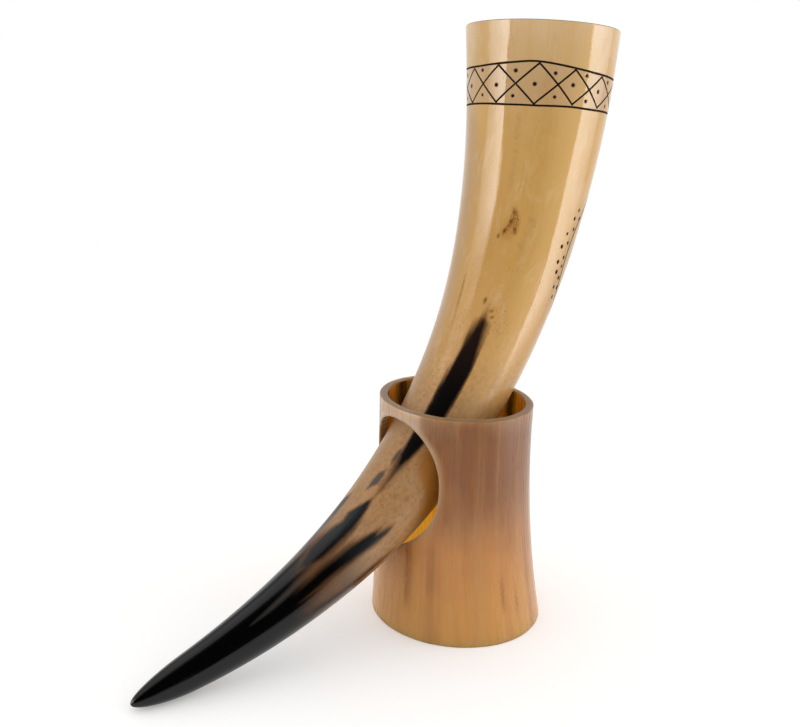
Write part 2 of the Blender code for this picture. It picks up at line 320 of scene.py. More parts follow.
def diamond_cuts():
    """Lines from each upper corner to the next lower corner and back up, with a dot in every field."""
    strokes, dots = [], []
    tops = diamond_corners(UPPER_RING, DIAMOND_TOPS, DIAMOND_GAP)
    feet = diamond_corners(LOWER_RING, DIAMOND_FEET, -DIAMOND_GAP)
    for i in range(len(DIAMOND_TOPS)):
        for start, end in ((tops[i], feet[i + 1]), (feet[i], tops[i + 1])):
            from_distance, to_distance = start[0] + hand(LINE_SLIP), end[0] + hand(LINE_SLIP)
            strokes.append((from_distance, start[1], to_distance, end[1], LINE_HALF_WIDTH, LINE_DEPTH))
        middle = ((tops[i][0] + feet[i][0]) / 2, (tops[i][1] + feet[i][1]) / 2)
        dots.append((*field_dot(CENTRE_DOTS, i, *middle), CENTRE_DOT_RADIUS, DOT_DEPTH))
        between = (tops[i][1] + tops[i + 1][1]) / 2
        for measured, ring, drop, radius in (
            (UPPER_DOTS, UPPER_RING, CORNER_DOT_DROP, UPPER_DOT_RADIUS),
            (LOWER_DOTS, LOWER_RING, -CORNER_DOT_DROP, LOWER_DOT_RADIUS),
        ):
            place = field_dot(measured, i, ring_distance(ring, between) + drop, between)
            dots.append((*place, radius * (1 + hand(DOT_SIZE_SLIP)), DOT_DEPTH))
    return strokes, dots


def lozenge_place(outline, share, side):
    """A place on a pointed oval, at a share from its middle to its upper (-1) or lower (1) point."""
    half_width, half_height = outline
    return LOZENGE_DISTANCE + half_height * share, LOZENGE_ANGLE + side * half_width * (1 - share**2)


def lozenge_cuts():
    strokes, dots = [], []
    for *outline, places in LOZENGE_DOT_ROWS:
        for place in places:
            share = (place / 1000 - LOZENGE_DISTANCE) / outline[1]
            for side in (-1, 1):
                distance, turn = lozenge_place(outline, share, side)
                turn += hand(LOZENGE_TURN_SLIP)
                dots.append((distance, turn, LOZENGE_DOT_RADIUS * (1 + hand(LOZENGE_SIZE_SLIP)), DOT_DEPTH))
    shares = np.linspace(-1, 1, LOZENGE_LINE_PIECES + 1)
    for outline in (LOZENGE_LINE, LOZENGE_HEART):
        for here, there in zip(shares, shares[1:]):
            for side in (-1, 1):
                ends = (*lozenge_place(outline, here, side), *lozenge_place(outline, there, side))
                strokes.append((*ends, LINE_HALF_WIDTH, LINE_DEPTH))
    dots.append((LOZENGE_DISTANCE, LOZENGE_ANGLE, CENTRE_DOT_RADIUS, DOT_DEPTH))
    return strokes, dots


def engraving():
    strokes = ring_strokes(UPPER_RING) + ring_strokes(LOWER_RING)
    dots = []
    for more_strokes, more_dots in (diamond_cuts(), lozenge_cuts()):
        strokes += more_strokes
        dots += more_dots
    return strokes, dots


STROKES, DOTS = engraving()
CUT_REACH = 2 * RING_HALF_WIDTH


def engrave(distance, angle):
    """(depth, share of the full depth) of the engraving at these places."""
    depth = np.zeros_like(distance)
    share = np.zeros_like(distance)

    def cut(near, away, half_width, deep):
        part = 1 - smooth(away / half_width, CUT_FLOOR, 1.0)
        depth[near] = np.maximum(depth[near], part * deep)
        share[near] = np.maximum(share[near], part)

    for *line, half_width, deep in STROKES:
        near = np.abs(distance - (line[0] + line[2]) / 2) < abs(line[2] - line[0]) / 2 + CUT_REACH
        cut(near, off_line(line, distance[near], angle[near]), half_width, deep)
    for middle, turn, radius, deep in DOTS:
        near = np.abs(distance - middle) < radius + CUT_REACH
        aside = wrap(angle[near] - turn) * horn_radius(middle)
        cut(near, np.hypot(aside, distance[near] - middle), radius, deep)
    return depth, share


def cut_points():
    """Places along every cut, from its floor to just outside its edges, as rows of (distance, angle)."""
    places = []
    for *line, half_width, _ in STROKES:
        radius, run, rise = span(line)
        length = math.hypot(run, rise)
        steps = np.linspace(0, 1, max(2, round(length / CUT_STEP)))
        for offset in CUT_OFFSETS:
            x = run * steps - rise / length * offset * half_width
            y = rise * steps + run / length * offset * half_width
            places += list(zip(line[0] + y, line[1] + x / radius))
    for middle, turn, size, _ in DOTS:
        places.append((middle, turn))
        for share, count in DOT_POINT_RINGS:
            for a in full_turn(count):
                x, y = size * share * math.cos(a), size * share * math.sin(a)
                places.append((middle + y, turn + x / horn_radius(middle)))
    return np.array(places)


def outer_point(distance, angle):
    depth, _ = engrave(distance, angle)
    return horn_point(distance, angle, horn_radius(distance) + horn_wave(distance, angle) - depth)


def inner_point(distance, angle):
    return horn_point(distance, angle, hollow_radius(distance) + horn_wave(distance, angle))


def measuring(surface, facing, traits, inside):
    """A function of (distance, angle) that gives places on a surface, their normals and their traits.

    Facing is 1 or -1, and turns the normals to the side that is seen.
    """
    def measure(distance, angle):
        along = surface(distance + NORMAL_STEP, angle) - surface(distance - NORMAL_STEP, angle)
        around = surface(distance, angle + NORMAL_TURN) - surface(distance, angle - NORMAL_TURN)
        normals = facing * np.cross(along, around)
        normals /= np.maximum(np.linalg.norm(normals, axis=1, keepdims=True), 1e-12)
        return surface(distance, angle), normals, traits(distance, angle, inside)

    return measure


# Pigment of the horn, and painted light and shade on it: stripes as rows of (distance, middle angle, half
# width as an angle), in degrees

STRIPES = {
    "black": (
        (
            (0.1402, -142, 0), (0.1425, -141.5, 4.5), (0.151, -143.3, 7.8), (0.159, -143.2, 9.2),
            (0.1665, -143.7, 11), (0.174, -145, 11.8), (0.182, -146, 12.5), (0.194, -146.5, 12.3),
            (0.210, -149.5, 9.8), (0.221, -151, 6.5), (0.228, -152, 2.8), (0.235, -151.5, 0.2),
            (0.245, -152, -1.0),
        ),
        (
            (0.2435, -153, -1.0), (0.250, -155.5, 6.5), (0.256, -158.5, 12.5), (0.261, -156, 12.5),
            (0.2645, -159, 15.5), (0.272, -163, 19.5), (0.280, -165, 21),
        ),
        ((0.247, 164, 0), (0.252, 157, 8), (0.263, 153, 10), (0.270, 151, 11), (0.281, 156, 14)),
        ((0.246, -103, 0), (0.251, -103.5, 4.0), (0.259, -108, 6), (0.269, -115, 7)),
        ((0.253, -115, 0), (0.259, -114, 8), (0.267, -119, 12), (0.283, -125.5, 15), (0.306, -124, 18)),
        ((0.252, -64, 0), (0.258, -65, 2.5), (0.267, -67, 5.0), (0.282, -72, 8.0), (0.296, -80, 12)),
        ((0.205, 62, 0), (0.226, 60, 6), (0.250, 57, 10), (0.280, 55, 16)),
        ((0.238, -38, 0), (0.252, -40, 6), (0.280, -44, 14)),
        ((0.228, 8, 0), (0.246, 10, 7), (0.280, 12, 18)),
        ((0.150, 22, 0), (0.170, 24, 4), (0.200, 27, 6), (0.224, 30, 0)),
        ((0.240, 112, 0), (0.256, 113, 8), (0.280, 114, 17)),
    ),
    "smoke": (
        ((0.2140, -160, 0), (0.2185, -161.5, 4.5), (0.2225, -162, 4.5), (0.2270, -162.5, 0)),
        ((0.2285, -164, 0), (0.232, -166, 5.5), (0.237, -167, 7), (0.241, -170.5, 2.5), (0.2435, -172, 0)),
        ((0.122, -177, 0.6), (0.138, -176, 0.9), (0.152, -175, 0.6)),
        ((0.180, 75, 0), (0.200, 78, 5), (0.222, 80, 0)),
    ),
    # Painted shade: darker stripes down the horn's left flank and on its right flank by the lozenge
    "dusk": (
        ((0.020, 148, 0), (0.050, 150, 22), (0.070, 150, 28), (0.300, 152, 30)),
        (
            (0.072, -60, 0), (0.090, -62, 15), (0.103, -62, 17), (0.118, -64, 16), (0.138, -64, 9),
            (0.152, -62, 0),
        ),
    ),
    # Painted light: a lighter stripe on the side towards the right soft box, beside its highlight
    "gilt": (((0.010, -100, 8), (0.050, -101, 15), (0.150, -106, 16), (0.200, -106, 8)),),
    # Painted amber light, bounced from inside the stand onto the horn's flank by the window
    "tawny": ((
        (0.198, -112, 0), (0.208, -108, 22), (0.214, -102, 32), (0.219, -97, 31), (0.2235, -89, 25),
        (0.228, -73, 16), (0.232, -66, 14), (0.239, -58, 11), (0.247, -52, 0),
    ),),
    # Painted sheen: a grey reflection on the black tip's upper left
    "haze": ((
        (0.276, -144, 0), (0.286, -146, 5.0), (0.296, -145.5, 6.0), (0.304, -143, 5.5), (0.313, -140.5, 3.5),
        (0.321, -139, 0),
    ),),
}
STRIPE_TAPER = 0.3
# (Angle in degrees, distance at which the horn is all black there)
BLACK_FROM = (
    (-180, 0.277), (-165, 0.283), (-150, 0.283), (-142.5, 0.289), (-136, 0.284), (-124, 0.288), (-108, 0.285),
    (-95, 0.290), (-80, 0.288), (-60, 0.287), (-30, 0.287), (0, 0.291), (30, 0.285), (70, 0.289),
    (100, 0.293), (140, 0.285), (180, 0.277),
)
BLACK_SLOPE = 0.16
# Marks drawn by lines from (distance, angle in degrees) to (distance, angle), each with the distances from
# its lines at which it is full and at which it ends. The blemish has two legs, with a blush between them
MARKS = {
    "blemish": ((
        (0.0862, -142.0, 0.0898, -137.3), (0.0898, -137.3, 0.0966, -137.2), (0.0892, -141.5, 0.0925, -142.0),
        (0.0925, -142.0, 0.0980, -147.8),
    ), 0.0002, 0.0016),
    "spots": ((
        (0.0965, -146.8, 0.0973, -147.5), (0.0948, -136.9, 0.0962, -137.3), (0.1003, -151.2, 0.1007, -151.6),
        (0.0893, -141.4, 0.0897, -142.0), (0.0918, -141.8, 0.0922, -142.4), (0.0874, -140.5, 0.0878, -139.6),
        (0.1312, -147.6, 0.1330, -146.4), (0.1360, -137.6, 0.1361, -137.4), (0.1395, -133.8, 0.1397, -133.6),
    ), 0.0002, 0.0009),
    "blush": (((0.0930, -141.0, 0.0985, -143.5),), 0.0005, 0.0045),
    "faint": ((
        (0.042, -150, 0.077, -149), (0.0885, -124, 0.0935, -120.5), (0.096, -123.5, 0.098, -126),
        (0.101, -131, 0.104, -127),
    ), 0.0002, 0.0022),
}
INK_GAIN = 2.2


def stripe_depth(knots, distance, angle):
    """How far a place lies inside a stripe, below 0 outside it."""
    along, middle, half = np.array(knots).T
    turned = np.abs(wrap(angle - np.radians(np.interp(distance, along, middle))))
    inside = (np.radians(np.interp(distance, along, half)) - turned) * horn_radius(distance)
    beyond = np.maximum(along[0] - distance, 0) + np.maximum(distance - along[-1], 0)
    return inside - STRIPE_TAPER * beyond


def deepest(stripes, distance, angle):
    """How far a place lies inside any of these stripes."""
    return np.max([stripe_depth(knots, distance, angle) for knots in stripes], axis=0)


def tip_depth(distance, angle):
    """How far a place lies inside the black tip, below 0 outside it."""
    start = np.interp(np.degrees(wrap(angle)), *np.array(BLACK_FROM).T)
    return (distance - start) * BLACK_SLOPE


def mark_share(mark, distance, angle):
    """1 on a mark's lines, fading to 0 beside them."""
    lines, full, none = mark
    ends = [(first, math.radians(start), last, math.radians(end)) for first, start, last, end in lines]
    return 1 - smooth(np.min([off_line(line, distance, angle) for line in ends], axis=0), full, none)


def between_rings(distance, angle):
    """1 between the band's two rings and 0 beyond them."""
    past_upper = distance - ring_distance(UPPER_RING, angle)
    short_of_lower = ring_distance(LOWER_RING, angle) - distance
    edge = (-RING_HALF_WIDTH, RING_HALF_WIDTH)
    return smooth(past_upper, *edge) * smooth(short_of_lower, *edge)


def horn_traits(distance, angle, inside, sawn=False):
    """What the horn's material reads at each place."""
    traits = {
        "grain": np.stack([MOUTH_RADIUS * np.cos(angle), MOUTH_RADIUS * np.sin(angle), distance], axis=1),
        "ink": np.zeros_like(distance) if inside else np.clip(engrave(distance, angle)[1] * INK_GAIN, 0, 1),
        "band": np.zeros_like(distance) if inside else between_rings(distance, angle),
        "inside": np.full_like(distance, float(inside)),
        "sawn": np.full_like(distance, float(sawn)),
    }
    traits.update({name: deepest(stripes, distance, angle) for name, stripes in STRIPES.items()})
    traits.update({name: mark_share(mark, distance, angle) for name, mark in MARKS.items()})
    traits["black"] = np.maximum(traits["black"], tip_depth(distance, angle))
    return traits


# Meshes


def put(name, data):
    """A new object in the scene."""
    made = bpy.data.objects.new(name, data)
    bpy.context.scene.collection.objects.link(made)
    return made


class Skin:
    """Points with normals and traits, joined into faces."""

    def __init__(self):
        self.places, self.normals, self.traits, self.faces = [], [], [], []
        self.count = 0

    def add(self, places, normals, traits):
        """Adds points, and gives their numbers."""
        self.places.append(places)
        self.normals.append(normals)
        self.traits.append(traits)
        self.count += len(places)
        return np.arange(self.count - len(places), self.count)

    def join(self, rows):
        """Quads between closed rows. They face the side from which turning and going on are right-handed."""
        for row, following in zip(rows, rows[1:]):
            quads = np.stack([row, np.roll(row, -1), np.roll(following, -1), following], axis=1)
            self.faces += quads.tolist()

    def close(self, row, point, first=False):
        """Triangles between a closed row and one point that follows it, or that comes first."""
        ends, turned = np.full(len(row), point), np.roll(row, -1)
        corners = [ends, turned, row] if first else [row, turned, ends]
        self.faces += np.stack(corners, axis=1).tolist()

    def make(self, name, finish):
        mesh = bpy.data.meshes.new(name)
        mesh.from_pydata(np.concatenate(self.places).tolist(), [], self.faces)
        for key, sample in self.traits[0].items():
            values = np.concatenate([traits[key] for traits in self.traits]).astype(np.float32)
            kind, slot = ("FLOAT", "value") if sample.ndim == 1 else ("FLOAT_VECTOR", "vector")
            mesh.attributes.new(key, kind, "POINT").data.foreach_set(slot, values.ravel())
        mesh.shade_smooth()
        mesh.normals_split_custom_set_from_vertices(np.concatenate(self.normals).tolist())
        mesh.materials.append(finish)
        return put(name, mesh)


def unroll(places, radius):
    """(height, angle) places as flat points."""
    return np.stack([places[:, 1] * radius, places[:, 0]], axis=1)


def tree_of(points):
    tree = KDTree(len(points))
    for i, point in enumerate(points):
        tree.insert((*point, 0), i)
    tree.balance()
    return tree


def thin_out(places, spacing, radius):
    """Leaves out each place that lies closer than the spacing to one before it."""
    points = unroll(places, radius)
    tree = tree_of(points)
    kept = np.ones(len(points), bool)
    for i, point in enumerate(points):
        if kept[i]:
            for _, other, _ in tree.find_range((*point, 0), spacing):
                if other > i:
                    kept[other] = False
    return places[kept]


def far_from(places, others, spacing, radius):
    """The places that lie further than the spacing from all the others."""
    tree = tree_of(unroll(others, radius))
    return places[[tree.find((*point, 0))[2] > spacing for point in unroll(places, radius)]]


def triangles(points):
    """Delaunay triangles of flat points, as rows of three numbers."""
    in_mm = [Vector(point) for point in points * 1000]
    _, _, faces, sources, _, _ = delaunay_2d_cdt(in_mm, [], [], 0, 1e-6)
    source = np.array([numbers[0] for numbers in sources])
    return source[np.array([list(face) for face in faces])]


def lattice(low, high, step, columns):
    """Staggered (height, angle) places over a full turn, inside two borders."""
    rows = np.linspace(low, high, round((high - low) / step) + 1)[1:-1]
    half = math.pi / columns
    turns = SEAM_ANGLE + (np.arange(columns) + 0.5) * TURN / columns
    return np.array([(row, turn - half * (i % 2)) for i, row in enumerate(rows) for turn in turns])


def past_seam(places):
    """The same (height, angle) places, with their angles counted on from the seam."""
    return np.stack([places[:, 0], SEAM_ANGLE + (places[:, 1] - SEAM_ANGLE) % TURN], axis=1)


def seam_sides(seam):
    """The seam's heights at both ends of the belt, as (height, angle) places."""
    return np.array([(height, turn) for height in seam for turn in (SEAM_ANGLE, SEAM_ANGLE + TURN)])


def add_patch(skin, rows, borders, points, seam, radius, measure):
    """Triangles through free (height, angle) points that fill the belt between two closed rows.

    The seam's heights are points too, and belong to both ends of the belt. Gives the points, their numbers in
    the skin and the triangles.
    """
    own = np.concatenate([points, [(height, SEAM_ANGLE) for height in seam]])
    numbers = skin.add(*measure(own[:, 0], own[:, 1]))
    flat = [own, [(height, SEAM_ANGLE + TURN) for height in seam]]
    owner = [numbers, numbers[len(points):]]
    for row, border in zip(rows, borders):
        turns = SEAM_ANGLE + np.arange(len(row) + 1) * TURN / len(row)
        flat.append([(border, turn) for turn in turns])
        owner.append(np.append(row, row[0]))
    flat = np.concatenate(flat)
    return flat, np.concatenate(owner), triangles(unroll(flat, radius))


HORN_ANGLES = full_turn(HORN_COLUMNS, SEAM_ANGLE)
measure_outside = measuring(outer_point, 1, horn_traits, False)
measure_hollow = measuring(inner_point, -1, horn_traits, True)


def add_horn_rows(skin, distances, measure):
    """Closed rows of points on a face of the horn, one for each distance or row of distances."""
    rows = [np.broadcast_to(distance, HORN_COLUMNS) for distance in distances]
    numbers = skin.add(*measure(np.concatenate(rows), np.tile(HORN_ANGLES, len(rows))))
    return list(numbers.reshape(len(rows), HORN_COLUMNS))


def add_pole(skin, distance, facing, inside):
    """The one point at the end of the tip or of the hollow."""
    at, turn = np.array([distance]), np.zeros(1)
    return skin.add(horn_point(at, turn, np.zeros(1)), np.array([facing]), horn_traits(at, turn, inside))[0]


def add_lip(skin, edge):
    """The mouth's rounded edge, whose normals turn from outwards over upwards to inwards."""
    out = np.stack([np.cos(HORN_ANGLES), np.sin(HORN_ANGLES), np.zeros(HORN_COLUMNS)], axis=1)
    quarter = np.linspace(0, math.pi / 2, EDGE_STEPS + 1)
    corners = [(turned, horn_radius(edge) - MOUTH_EDGE) for turned in quarter[1:]]
    corners += [(math.pi / 2 + turned, hollow_radius(edge) + MOUTH_EDGE) for turned in quarter[:-1]]
    rows = []
    for turned, middle in corners:
        distance = edge - MOUTH_EDGE * math.sin(turned)
        reach = middle + MOUTH_EDGE * math.cos(turned) + horn_wave(distance, HORN_ANGLES)
        normals = math.cos(turned) * out + np.array((0, 0, math.sin(turned)))
        traits = horn_traits(distance, HORN_ANGLES, False, turned > SAWN_FROM)
        rows.append(skin.add(horn_point(distance, HORN_ANGLES, reach), normals, traits))
    return rows


def engraved_patch(skin, top_row, bottom_row):
    """The belt of the horn that carries the engraving."""
    cuts = past_seam(cut_points())
    cuts = cuts[np.abs(wrap(cuts[:, 1] - SEAM_ANGLE)) * MOUTH_RADIUS > LEAST_SPACING]
    upper, lower = (ring_distance(ring, SEAM_ANGLE) for ring in (UPPER_RING, LOWER_RING))
    above = np.arange(PATCH_TOP + PATCH_STEP, upper - SEAM_MARGIN, PATCH_STEP)
    band = np.arange(upper - SEAM_MARGIN, lower + SEAM_MARGIN, SEAM_STEP)
    below = np.arange(band[-1] + PATCH_STEP, PATCH_BOTTOM - PATCH_STEP / 2, PATCH_STEP)
    seam = np.concatenate([above, band, below])
    sides = seam_sides(seam)
    cuts = far_from(thin_out(cuts, LEAST_SPACING, MOUTH_RADIUS), sides, LEAST_SPACING, MOUTH_RADIUS)
    ground = lattice(PATCH_TOP, PATCH_BOTTOM, PATCH_STEP, HORN_COLUMNS)
    ground = far_from(ground, np.concatenate([cuts, sides]), CLEAR_OF_CUTS, MOUTH_RADIUS)
    points = np.concatenate([cuts, ground])
    rows, borders = (top_row, bottom_row), (PATCH_TOP, PATCH_BOTTOM)
    _, owner, faces = add_patch(skin, rows, borders, points, seam, MOUTH_RADIUS, measure_outside)
    skin.faces += owner[faces[:, ::-1]].tolist()


def make_horn(finish):
    skin = Skin()
    quarter = np.linspace(0, math.pi / 2, TIP_RINGS + 1, endpoint=False)[1:]
    shaft_end = HORN_LENGTH - TIP_ROUNDING
    shaft = np.linspace(PATCH_BOTTOM, shaft_end, round((shaft_end - PATCH_BOTTOM) / SHAFT_STEP))
    stations = np.concatenate([shaft, shaft_end + TIP_ROUNDING * np.sin(quarter)])
    tip_way = np.polyval(LEAN_LAW, 1.0)
    tip = add_pole(skin, HORN_LENGTH, (-math.sin(tip_way), 0, -math.cos(tip_way)), False)
    rows = add_horn_rows(skin, stations[::-1], measure_outside)
    skin.close(rows[0], tip, first=True)
    skin.join(rows)

    edge = mouth_distance(HORN_ANGLES) + MOUTH_EDGE
    collar = [PATCH_TOP + (edge - PATCH_TOP) * share for share in np.linspace(0, 1, COLLAR_RINGS)]
    collar = add_horn_rows(skin, collar, measure_outside)
    engraved_patch(skin, collar[0], rows[-1])
    lip = add_lip(skin, edge)
    barrel_end = HOLLOW_DEPTH - HOLLOW_ROUNDING
    barrel = [edge + (barrel_end - edge) * share for share in np.linspace(0, 1, HOLLOW_RINGS)]
    end = [barrel_end + HOLLOW_ROUNDING * math.sin(a) for a in quarter[::2]]
    rows = collar + lip + add_horn_rows(skin, barrel + end, measure_hollow)
    skin.join(rows)
    skin.close(rows[-1], add_pole(skin, HOLLOW_DEPTH, HOLLOW_END_WAY, True))
    return skin.make("polished_drinking_horn", finish)


# Shape of the stand: heights and angles are those of the upright tube, before its rim slopes and its foot
# sweeps

STAND_RADIUS_LAW = np.polyfit(
    (0.0, STAND_WAIST_HEIGHT, STAND_HEIGHT), (STAND_FOOT_RADIUS, STAND_WAIST_RADIUS, STAND_TOP_RADIUS), 2
)
STAND_ANGLES = full_turn(STAND_COLUMNS, SEAM_ANGLE)


def rim_rise(x, y):
    return RIM_SLOPE_ALONG * x + RIM_SLOPE_ACROSS * y


def stand_point(height, angle, depth):
    """A place at a depth below the stand's outer face."""
    wave = STAND_WAVE_HEIGHT * waviness(STAND_WAVES, height, angle)
    bulge = FOOT_BULGE * np.clip(1 - height / FOOT_BULGE_HEIGHT, 0, 1) ** 2
    swell = bulge * np.maximum(np.cos(angle - FOOT_BULGE_ANGLE), 0) ** 2
    lean = smooth(height, STAND_HEIGHT - RIM_WEAR_HEIGHT, STAND_HEIGHT) * (depth / STAND_WALL) ** 2
    worn = RIM_WEAR * lean * np.maximum(np.cos(angle - RIM_WEAR_ANGLE), 0) ** 4
    radius = np.polyval(STAND_RADIUS_LAW, height) + wave + swell + worn - depth
    x, y = radius * np.cos(angle), radius * np.sin(angle)
    z = height + rim_rise(x, y) * height / STAND_HEIGHT
    x = x + FOOT_OFFSET * (1 - height / STAND_HEIGHT) ** 2
    c, s = math.cos(WINDOW_TURN), math.sin(WINDOW_TURN)
    return STAND_AXIS + np.stack([c * x - s * y, s * x + c * y, z], axis=-1)


def window_fullness(upward):
    return np.where(upward > 0, WINDOW_FULLNESS_ABOVE, WINDOW_FULLNESS_BELOW)


def full(value, fullness):
    """Power that makes a circle's sine or cosine that of a fuller oval."""
    return np.sign(value) * np.abs(value) ** (2 / fullness)


def window_outline(spread, depth):
    """(height, angle) points round the window, this far outside its edge, at a depth in the wall."""
    turns = full_turn(WINDOW_COLUMNS)
    fullness = window_fullness(np.sin(turns))
    y = WINDOW_SHIFT + (WINDOW_HALF_WIDTH + spread) * full(np.cos(turns), fullness)
    upward = full(np.sin(turns), fullness)
    sag = WINDOW_SAG * (y - WINDOW_SAG_FROM) * np.minimum(upward, 0) ** 2
    level = WINDOW_MIDDLE + (WINDOW_HALF_HEIGHT + spread) * upward - sag
    height = level
    for _ in range(OUTLINE_ROUNDS):
        radius = np.polyval(STAND_RADIUS_LAW, height) - depth
        x = -np.sqrt(radius**2 - y**2)
        height = level / (1 + rim_rise(x, y) / STAND_HEIGHT)
    return np.stack([height, np.arctan2(y, x)], axis=1)


def window_share(height, angle, depth):
    """Below 1 inside the window's rounded edge, 1 on it and more outside it, on a face of the wall."""
    radius = np.polyval(STAND_RADIUS_LAW, height) - depth
    x, y = radius * np.cos(angle), radius * np.sin(angle)
    above = height * (1 + rim_rise(x, y) / STAND_HEIGHT) - WINDOW_MIDDLE
    half_height = WINDOW_HALF_HEIGHT + WINDOW_EDGE
    sag = np.where(above < 0, 4 * WINDOW_SAG * (y - WINDOW_SAG_FROM) * above, 0)
    upward = 2 * above / (half_height + np.sqrt(np.maximum(half_height**2 - sag, 0)))
    across = (y - WINDOW_SHIFT) / (WINDOW_HALF_WIDTH + WINDOW_EDGE)
    fullness = window_fullness(upward)
    share = (np.abs(across) ** fullness + np.abs(upward) ** fullness) ** (1 / fullness)
    return np.where(x < 0, share, np.inf)


# Dark streaks of the stand, and painted shade inside it: (angle, half width, lowest, highest), in degrees and
# metres
UMBER_STREAKS = (
    (-162.5, 3.4, 0.010, 0.052), (-146, 2.8, 0.016, 0.054), (-137, 4.0, 0.052, 0.100),
    (-118, 3.0, 0.058, 0.094), (-96, 1.6, 0.010, 0.036), (-84, 1.3, 0.006, 0.030), (-60, 3.0, 0.030, 0.085),
    (-20, 4.0, 0.020, 0.070), (25, 3.0, 0.015, 0.060), (70, 4.0, 0.040, 0.095), (120, 3.0, 0.020, 0.075),
)
# Painted shade inside the stand, darkest next to the horn
INNER_SHADE = (
    (-5.5, 8.0, 0.066, 0.120), (104, 11.0, 0.066, 0.120), (48, 14.0, 0.060, 0.120), (-62, 3.0, 0.075, 0.120),
    (136, 2.5, 0.080, 0.120), (-110, 4.0, 0.075, 0.120),
)
STREAK_FADE = 0.012
STREAK_EDGE = (0.2, 1.4)


def streak_share(streaks, height, angle):
    """1 in the middle of the streaks, 0 outside them."""
    share = np.zeros_like(height)
    for turn, half_width, low, high in streaks:
        aside = np.abs(wrap(angle - math.radians(turn))) / math.radians(half_width)
        ends = smooth(height, low, low + STREAK_FADE) * (1 - smooth(height, high - STREAK_FADE, high))
        share = np.maximum(share, (1 - smooth(aside, *STREAK_EDGE)) * ends)
    return share


def stand_traits(height, angle, inside, sawn=0.0):
    """What the stand's material reads at each place."""
    around = STAND_TOP_RADIUS * np.cos(angle), STAND_TOP_RADIUS * np.sin(angle)
    aside = np.abs(wrap(angle - math.pi))
    return {
        "grain": np.stack([*around, height], axis=1),
        "inside": np.full_like(height, float(inside)),
        "sawn": np.full_like(height, sawn),
        "umber": streak_share(UMBER_STREAKS, height, angle),
        "shade": streak_share(INNER_SHADE, height, angle),
        # Painted highlight along the window's edge
        "sanded": 1 - smooth(window_share(height, angle, 0.0), 1.0, 1.0 + WINDOW_HIGHLIGHT_REACH),
        # Painted highlight on the bridge above the window
        "bridge": smooth(height, *BRIDGE_HEIGHTS) * (1 - smooth(aside, *BRIDGE_TURNS)),
    }


def add_wall(skin, depth, top_row, foot_row, ring):
    """One face of the wall, with the window left open. The ring is the window's row on this face."""
    borders = (STAND_HEIGHT - RIM_EDGE, RIM_EDGE)
    edge = past_seam(window_outline(WINDOW_EDGE, depth))
    around = past_seam(window_outline(WINDOW_EDGE + STAND_STEP / 2, depth)[::2])
    around = around[around[:, 0] < borders[0] - STAND_STEP / 3]
    seam = np.linspace(*borders, round((borders[0] - borders[1]) / STAND_STEP) + 1)[1:-1]
    ground = lattice(borders[1], borders[0], STAND_STEP, STAND_COLUMNS)
    ground = ground[window_share(*ground.T, depth) >= 1]
    taken = np.concatenate([edge, around, seam_sides(seam)])
    ground = far_from(ground, taken, CLEAR_OF_WINDOW, STAND_TOP_RADIUS)
    points = np.concatenate([edge, around, ground])
    face = partial(stand_point, depth=depth)
    measure = measuring(face, 1 if depth > 0 else -1, stand_traits, depth > 0)
    rows = (top_row, foot_row)
    places, owner, faces = add_patch(skin, rows, borders, points, seam, STAND_TOP_RADIUS, measure)
    owner[:len(edge)] = ring
    middle = places[faces].mean(axis=1)
    faces = faces[window_share(*middle.T, depth) >= 1]
    skin.faces += owner[faces if depth == 0 else faces[:, ::-1]].tolist()


def rounded_edge(size):
    """(turn, depth, setback) of rows over the wall's rounded corners, from the outer to the inner face."""
    for start, middle in ((0.0, size), (math.pi / 2, STAND_WALL - size)):
        for turned in start + np.linspace(0, math.pi / 2, EDGE_STEPS):
            yield turned, middle - size * math.cos(turned), size * (1 - math.sin(turned))


def add_sawn_edge(skin, level, upward):
    """The rounded rim or foot, as rows from the outer face to the inner face."""
    out = np.stack([np.cos(STAND_ANGLES + WINDOW_TURN), np.sin(STAND_ANGLES + WINDOW_TURN)], axis=1)
    rows = []
    for turned, depth, setback in rounded_edge(RIM_EDGE):
        height = np.full(STAND_COLUMNS, level - upward * setback)
        rise = np.full((STAND_COLUMNS, 1), upward * math.sin(turned))
        normals = np.concatenate([math.cos(turned) * out, rise], axis=1)
        traits = stand_traits(height, STAND_ANGLES, math.isclose(turned, math.pi))
        rows.append(skin.add(stand_point(height, STAND_ANGLES, depth), normals, traits))
    return rows


def add_window_edge(skin):
    """The window's rounded edge, as rows from the outer face to the inner face."""
    depths, outlines, rows = [], [], []
    for _, depth, spread in rounded_edge(WINDOW_EDGE):
        depths.append(depth)
        outlines.append(window_outline(spread, depth).T)
        rows.append(stand_point(*outlines[-1], depth))
    numbers = []
    for i, places in enumerate(rows):
        before, after = rows[max(i - 1, 0)], rows[min(i + 1, len(rows) - 1)]
        normals = np.cross(after - before, np.roll(places, -1, axis=0) - np.roll(places, 1, axis=0))
        normals /= np.linalg.norm(normals, axis=1, keepdims=True)
        numbers.append(skin.add(places, normals, stand_traits(*outlines[i], depths[i] / STAND_WALL, 1.0)))
    return numbers


def make_stand(finish):
    skin = Skin()
    rim = add_sawn_edge(skin, STAND_HEIGHT, 1)
    foot = add_sawn_edge(skin, 0.0, -1)
    window = add_window_edge(skin)
    add_wall(skin, 0.0, rim[0], foot[0], window[0])
    add_wall(skin, STAND_WALL, rim[-1], foot[-1], window[-1])
    skin.join(rim)
    skin.join(foot[::-1])
    skin.join(window[::-1])
    return skin.make("brown_horn_stand", finish)


# Materials


def fill(made, sockets):
    """Sets or links a node's sockets."""
    for key, value in sockets.items():
        if isinstance(value, bpy.types.NodeSocket):
            made.id_data.links.new(value, made.inputs[key])
        else:
            made.inputs[key].default_value = value


